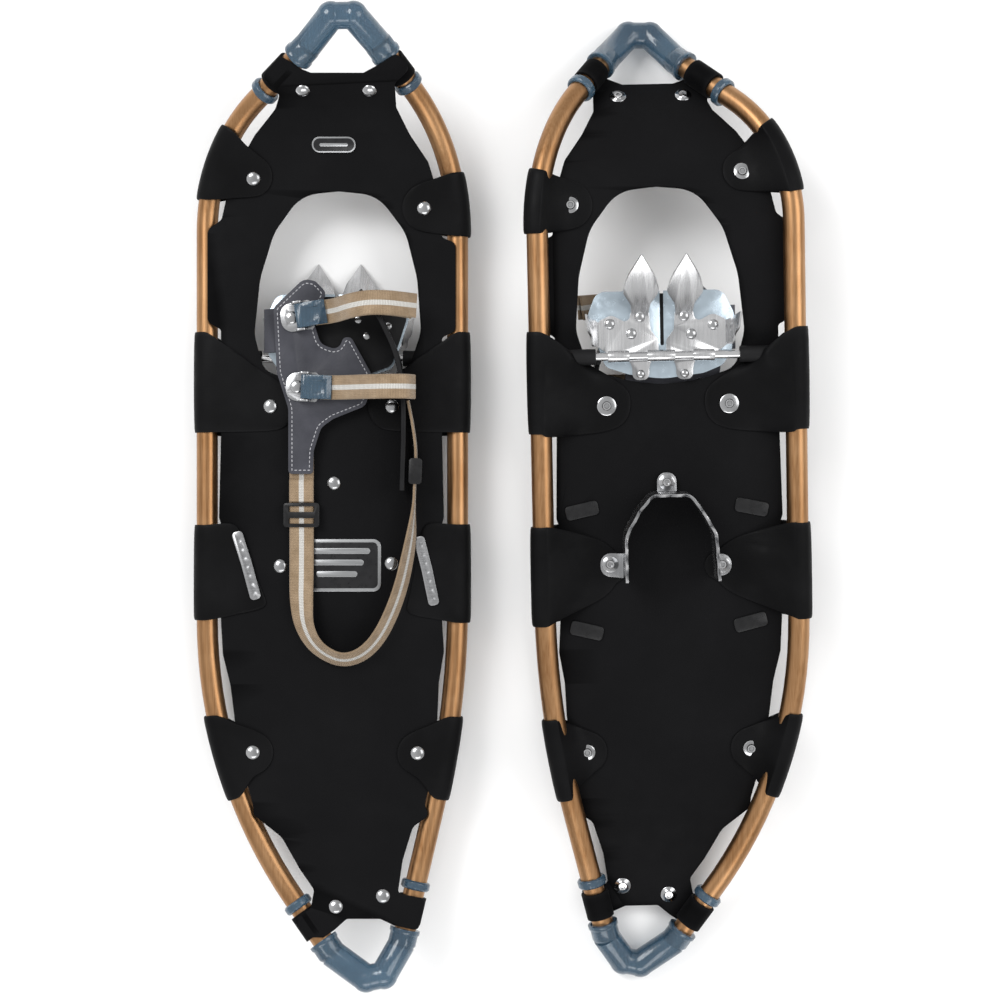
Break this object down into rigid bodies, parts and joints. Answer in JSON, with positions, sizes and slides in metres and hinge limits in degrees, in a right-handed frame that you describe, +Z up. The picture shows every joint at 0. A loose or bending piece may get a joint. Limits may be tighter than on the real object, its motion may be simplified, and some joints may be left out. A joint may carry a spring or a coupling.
{
  "type": "snowshoes",
  "caption": "Pair of snowshoes with tubular frames, riveted decks, jointed end caps, steel crampons and pivoting strap bindings; one lies sole up.",
  "frame": {"origin": "on the ground, under the centre of the pair's outline", "axes": "+Y towards the toes, +X across the pair to the shoe that lies sole up, +Z up"},
  "size_m": [0.4842, 0.7628, 0.121],
  "materials": {
    "anodised_tube": "satin anodised",
    "blue_polymer": "translucent moulded",
    "deck_sheet": "coated matte",
    "wrap_sheet": "coated matte",
    "bright_rivet": "polished",
    "stainless": "brushed",
    "stamped_steel": "stamped",
    "black_plastic": "moulded",
    "rubber_sleeve": "matte",
    "badge_metal": "brushed and painted",
    "foot_plate": "smooth",
    "grey_flap": "synthetic leather",
    "black_flap": "matte",
    "webbing": "ribbed weave"
  },
  "bodies": {
    "left_shoe": {"left_lateral_tube": "anodised_tube", "left_medial_tube": "anodised_tube", "left_tip_cap": "blue_polymer", "left_tail_cap": "blue_polymer", "left_stop_rings": "blue_polymer", "left_deck": "deck_sheet", "left_front_wraps": "wrap_sheet", "left_pivot_wraps": "wrap_sheet", "left_heel_wraps": "wrap_sheet", "left_rear_wraps": "wrap_sheet", "left_deck_rivets": "bright_rivet", "left_heel_crampon": "stainless", "left_clamp_bars": "stamped_steel", "left_backing_plates": "black_plastic", "left_axle_rod": "bright_rivet", "left_axle_sleeves": "rubber_sleeve", "left_deck_badges": "badge_metal"},
    "left_binding": {"left_foot_plate": "foot_plate", "left_toe_crampon": "stainless", "left_binding_rivets": "bright_rivet", "left_lateral_flap": "grey_flap", "left_medial_flap": "black_flap", "left_buckle_frames": "stamped_steel", "left_toe_strap": "webbing", "left_instep_strap": "webbing", "left_heel_strap": "webbing", "left_side_buckle": "black_plastic"},
    "left_toe_lever_body": {"left_toe_lever": "blue_polymer"},
    "left_instep_lever_body": {"left_instep_lever": "blue_polymer"},
    "left_heel_slider_body": {"left_heel_slider": "black_plastic"},
    "right_shoe": {"right_lateral_tube": "anodised_tube", "right_medial_tube": "anodised_tube", "right_tip_cap": "blue_polymer", "right_tail_cap": "blue_polymer", "right_stop_rings": "blue_polymer", "right_deck": "deck_sheet", "right_front_wraps": "wrap_sheet", "right_pivot_wraps": "wrap_sheet", "right_heel_wraps": "wrap_sheet", "right_rear_wraps": "wrap_sheet", "right_deck_rivets": "bright_rivet", "right_heel_crampon": "stainless", "right_clamp_bars": "stamped_steel", "right_backing_plates": "black_plastic", "right_axle_rod": "bright_rivet", "right_axle_sleeves": "rubber_sleeve", "right_deck_badges": "badge_metal"},
    "right_binding": {"right_foot_plate": "foot_plate", "right_toe_crampon": "stainless", "right_binding_rivets": "bright_rivet", "right_lateral_flap": "grey_flap", "right_medial_flap": "black_flap", "right_buckle_frames": "stamped_steel", "right_toe_strap": "webbing", "right_instep_strap": "webbing", "right_heel_strap": "webbing", "right_side_buckle": "black_plastic"},
    "right_toe_lever_body": {"right_toe_lever": "blue_polymer"},
    "right_instep_lever_body": {"right_instep_lever": "blue_polymer"},
    "right_heel_slider_body": {"right_heel_slider": "black_plastic"}
  },
  "joints": [
    {"name": "right_shoe_lift", "type": "slide", "parent": "left_shoe", "child": "right_shoe", "axis": [0, 0, 1], "range_m": [0, 0.3]},
    {"name": "left_binding_pivot", "type": "hinge", "parent": "left_shoe", "child": "left_binding", "pos_m": [-0.1358, 0.1122, 0.032], "axis": [-1, 0, 0], "range_deg": [0, 75]},
    {"name": "left_toe_lever_hinge", "type": "hinge", "parent": "left_binding", "child": "left_toe_lever_body", "pos_m": [-0.16022, 0.14386, 0.05685], "axis": [0.1736, -0.9848, 0], "range_deg": [0, 80]},
    {"name": "left_instep_lever_hinge", "type": "hinge", "parent": "left_binding", "child": "left_instep_lever_body", "pos_m": [-0.1561, 0.08895, 0.05685], "axis": [-0.0349, -0.9994, 0], "range_deg": [0, 80]},
    {"name": "left_heel_slider_slide", "type": "slide", "parent": "left_binding", "child": "left_heel_slider_body", "axis": [0, -1, 0], "range_m": [0, 0.02]},
    {"name": "right_binding_pivot", "type": "hinge", "parent": "right_shoe", "child": "right_binding", "pos_m": [0.1252, 0.1122, 0.0706], "axis": [0.9998, 0.0218, 0], "range_deg": [0, 75]},
    {"name": "right_toe_lever_hinge", "type": "hinge", "parent": "right_binding", "child": "right_toe_lever_body", "pos_m": [0.14889, 0.14609, 0.04809], "axis": [-0.1522, -0.9858, -0.0708], "range_deg": [0, 80]},
    {"name": "right_instep_lever_hinge", "type": "hinge", "parent": "right_binding", "child": "right_instep_lever_body", "pos_m": [0.14596, 0.09124, 0.04414], "axis": [0.0566, -0.9958, -0.0718], "range_deg": [0, 80]},
    {"name": "right_heel_slider_slide", "type": "slide", "parent": "right_binding", "child": "right_heel_slider_body", "axis": [0.0218, -0.9972, -0.0718], "range_m": [0, 0.02]}
  ]
}
